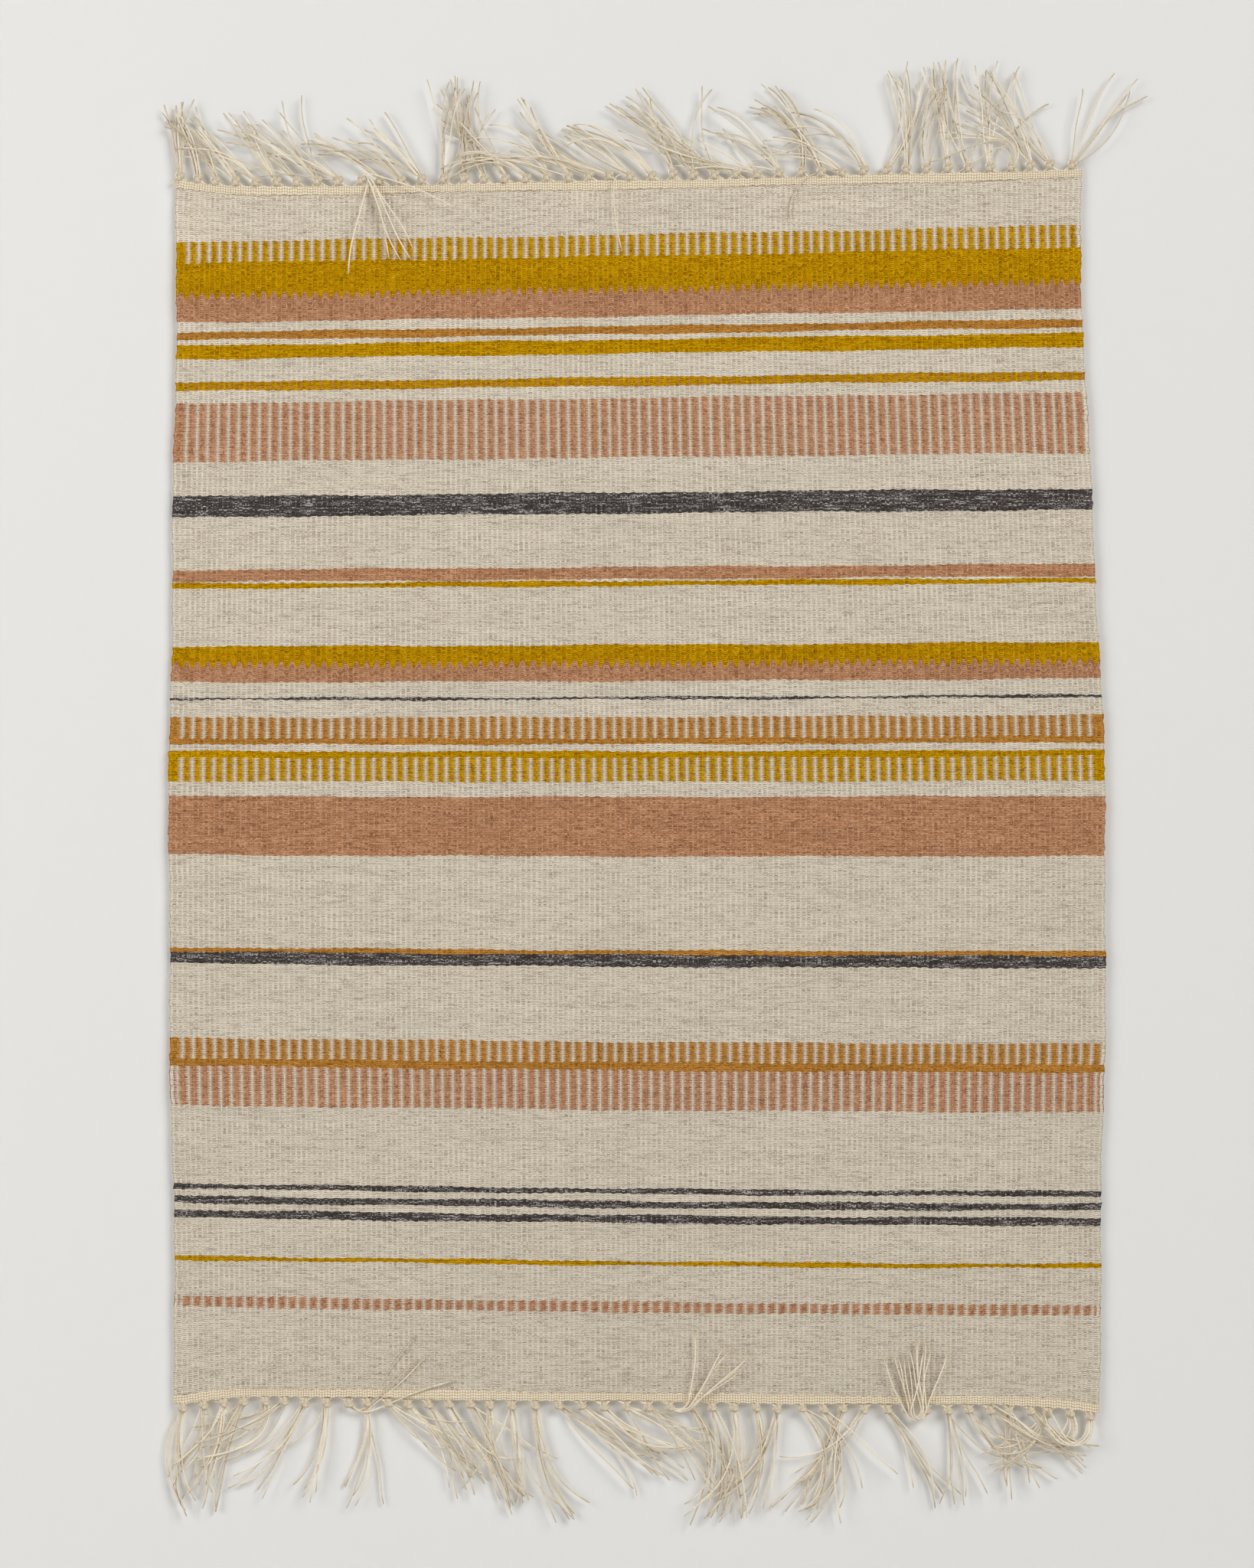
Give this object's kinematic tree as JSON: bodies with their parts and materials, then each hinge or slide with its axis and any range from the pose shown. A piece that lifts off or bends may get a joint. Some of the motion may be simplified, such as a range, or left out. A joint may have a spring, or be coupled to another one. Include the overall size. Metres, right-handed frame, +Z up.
{
  "type": "tapestry wall hanging",
  "caption": "Hand-woven weft-faced tapestry wall hanging with wool stripes, vertical pick-and-pick bars, cream twined headings and knotted linen tassels at both ends.",
  "frame": {"origin": "middle of the back face of the upper heading, where the piece is pinned to the wall", "axes": "+Z up along the warp, +X along the picks, +Y out of the back into the wall; the front faces -Y"},
  "size_m": [0.5609, 0.0061, 0.8668],
  "materials": {
    "natural_wool": "heathered undyed wool weft, matt",
    "mustard_wool": "mustard wool weft, matt",
    "rose_wool": "dusty rose-terracotta wool weft, matt",
    "ochre_wool": "burnt ochre wool weft, matt",
    "charcoal_wool": "heathered charcoal wool weft, matt",
    "heading_cotton": "cream cotton twining cord, matt",
    "warp_linen": "unbleached linen warp, slight sheen"
  },
  "bodies": {
    "hanging_edge": {"heading_top": "heading_cotton"},
    "upper_cloth": {"natural_01": "natural_wool", "mustard_bars_01": "mustard_wool", "mustard_01": "mustard_wool", "rose_01": "rose_wool", "natural_02": "natural_wool", "ochre_01": "ochre_wool", "natural_03": "natural_wool", "mustard_02": "mustard_wool", "natural_04": "natural_wool", "mustard_03": "mustard_wool", "natural_05": "natural_wool", "rose_bars_01": "rose_wool", "natural_06": "natural_wool", "charcoal_01": "charcoal_wool", "natural_07": "natural_wool", "rose_02": "rose_wool", "natural_08": "natural_wool", "mustard_04": "mustard_wool", "warp_upper": "warp_linen"},
    "middle_cloth": {"natural_09": "natural_wool", "mustard_05": "mustard_wool", "rose_03": "rose_wool", "natural_10": "natural_wool", "charcoal_02": "charcoal_wool", "natural_11": "natural_wool", "ochre_bars_01": "ochre_wool", "ochre_02": "ochre_wool", "natural_12": "natural_wool", "mustard_06": "mustard_wool", "mustard_bars_02": "mustard_wool", "natural_13": "natural_wool", "rose_04": "rose_wool", "natural_14": "natural_wool", "ochre_03": "ochre_wool", "charcoal_03": "charcoal_wool", "warp_middle": "warp_linen"},
    "lower_cloth": {"natural_15": "natural_wool", "ochre_bars_02": "ochre_wool", "ochre_04": "ochre_wool", "rose_bars_02": "rose_wool", "natural_16": "natural_wool", "charcoal_04": "charcoal_wool", "natural_17": "natural_wool", "charcoal_05": "charcoal_wool", "natural_18": "natural_wool", "charcoal_06": "charcoal_wool", "natural_19": "natural_wool", "mustard_07": "mustard_wool", "natural_20": "natural_wool", "rose_bars_03": "rose_wool", "natural_21": "natural_wool", "warp_lower": "warp_linen", "heading_foot": "heading_cotton"},
    "tassels_top_left": {"tassels_top_left": "warp_linen"},
    "tassels_top_middle": {"tassels_top_middle": "warp_linen"},
    "tassels_top_right": {"tassels_top_right": "warp_linen"},
    "tassels_foot_left": {"tassels_foot_left": "warp_linen"},
    "tassels_foot_middle": {"tassels_foot_middle": "warp_linen"},
    "tassels_foot_right": {"tassels_foot_right": "warp_linen"}
  },
  "joints": [
    {"name": "upper_bend", "type": "hinge", "parent": "hanging_edge", "child": "upper_cloth", "pos_m": [0, -0.0032, -0.0023], "axis": [-0.9998, 0, -0.0211], "range_deg": [0, 40]},
    {"name": "middle_bend", "type": "hinge", "parent": "upper_cloth", "child": "middle_cloth", "pos_m": [0.00326, -0.0032, -0.24013], "axis": [-0.9999, 0, -0.0106], "range_deg": [0, 60]},
    {"name": "lower_bend", "type": "hinge", "parent": "middle_cloth", "child": "lower_cloth", "pos_m": [0.0053, -0.0032, -0.46955], "axis": [-1, 0, -0.0009], "range_deg": [0, 60]},
    {"name": "tassels_top_left_flop", "type": "hinge", "parent": "hanging_edge", "child": "tassels_top_left", "pos_m": [0, -0.0032, 0.0023], "axis": [0.9998, 0, 0.0213], "range_deg": [0, 110], "stiffness_Nm_per_rad": 0.2},
    {"name": "tassels_top_middle_flop", "type": "hinge", "parent": "hanging_edge", "child": "tassels_top_middle", "pos_m": [0, -0.0032, 0.0023], "axis": [0.9998, 0, 0.0213], "range_deg": [0, 110], "stiffness_Nm_per_rad": 0.2},
    {"name": "tassels_top_right_flop", "type": "hinge", "parent": "hanging_edge", "child": "tassels_top_right", "pos_m": [0, -0.0032, 0.0023], "axis": [0.9998, 0, 0.0213], "range_deg": [0, 110], "stiffness_Nm_per_rad": 0.2},
    {"name": "tassels_foot_left_swing", "type": "hinge", "parent": "lower_cloth", "child": "tassels_foot_left", "pos_m": [0.0053, -0.0032, -0.72825], "axis": [-1, 0, 0.0099], "range_deg": [0, 150]},
    {"name": "tassels_foot_middle_swing", "type": "hinge", "parent": "lower_cloth", "child": "tassels_foot_middle", "pos_m": [0.0053, -0.0032, -0.72825], "axis": [-1, 0, 0.0099], "range_deg": [0, 150]},
    {"name": "tassels_foot_right_swing", "type": "hinge", "parent": "lower_cloth", "child": "tassels_foot_right", "pos_m": [0.0053, -0.0032, -0.72825], "axis": [-1, 0, 0.0099], "range_deg": [0, 150]}
  ]
}
